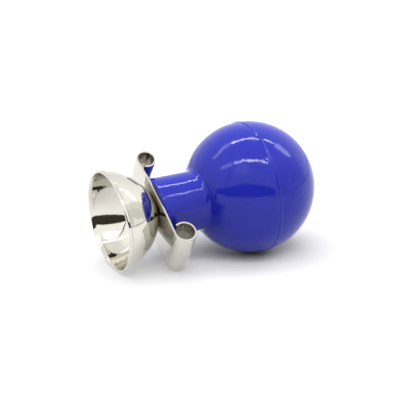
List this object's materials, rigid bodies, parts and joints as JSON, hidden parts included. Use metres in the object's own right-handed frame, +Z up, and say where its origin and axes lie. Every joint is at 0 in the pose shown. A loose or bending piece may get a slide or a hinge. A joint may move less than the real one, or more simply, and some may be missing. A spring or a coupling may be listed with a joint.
{
  "type": "chest suction electrode",
  "caption": "Rubber suction bulb on a hollow stem with a nickel-plated suction cup and a swivelling spring contact clip whose rolled ends take electrode lead plugs.",
  "frame": {"origin": "centre of the bounding box's bottom face; the electrode lies on its side on the surface at height 0, on the cup's rim, the bulb and one corner of the contact clip", "axes": "+Z up; +X is the horizontal direction of the electrode's own axis from the cup to the bulb, which rises 5.78 degrees towards the bulb; +Y across"},
  "size_m": [0.053, 0.0312, 0.0312],
  "materials": {
    "cup_nickel": "bright nickel plate",
    "stem_nickel": "nickel plate",
    "clip_nickel": "satin to bright nickel plate",
    "bulb_rubber_front": "glossy moulded rubber",
    "bulb_rubber_rear": "glossy moulded rubber"
  },
  "bodies": {
    "cup_and_stem": {"suction_cup": "cup_nickel", "hollow_stem": "stem_nickel", "bulb_front_half": "bulb_rubber_front"},
    "clip": {"contact_clip": "clip_nickel"},
    "bulb_back": {"bulb_rear_half": "bulb_rubber_rear"}
  },
  "joints": [
    {"name": "clip_swivel", "type": "hinge", "parent": "cup_and_stem", "child": "clip", "pos_m": [-0.0142, 0, 0.01303], "axis": [0.9949, 0, 0.1007], "continuous": true},
    {"name": "bulb_squeeze", "type": "slide", "parent": "cup_and_stem", "child": "bulb_back", "axis": [-0.9949, 0, -0.1007], "range_m": [0, 0.009], "stiffness_N_per_m": 1500, "deforming": ["bulb_front_half"]}
  ]
}
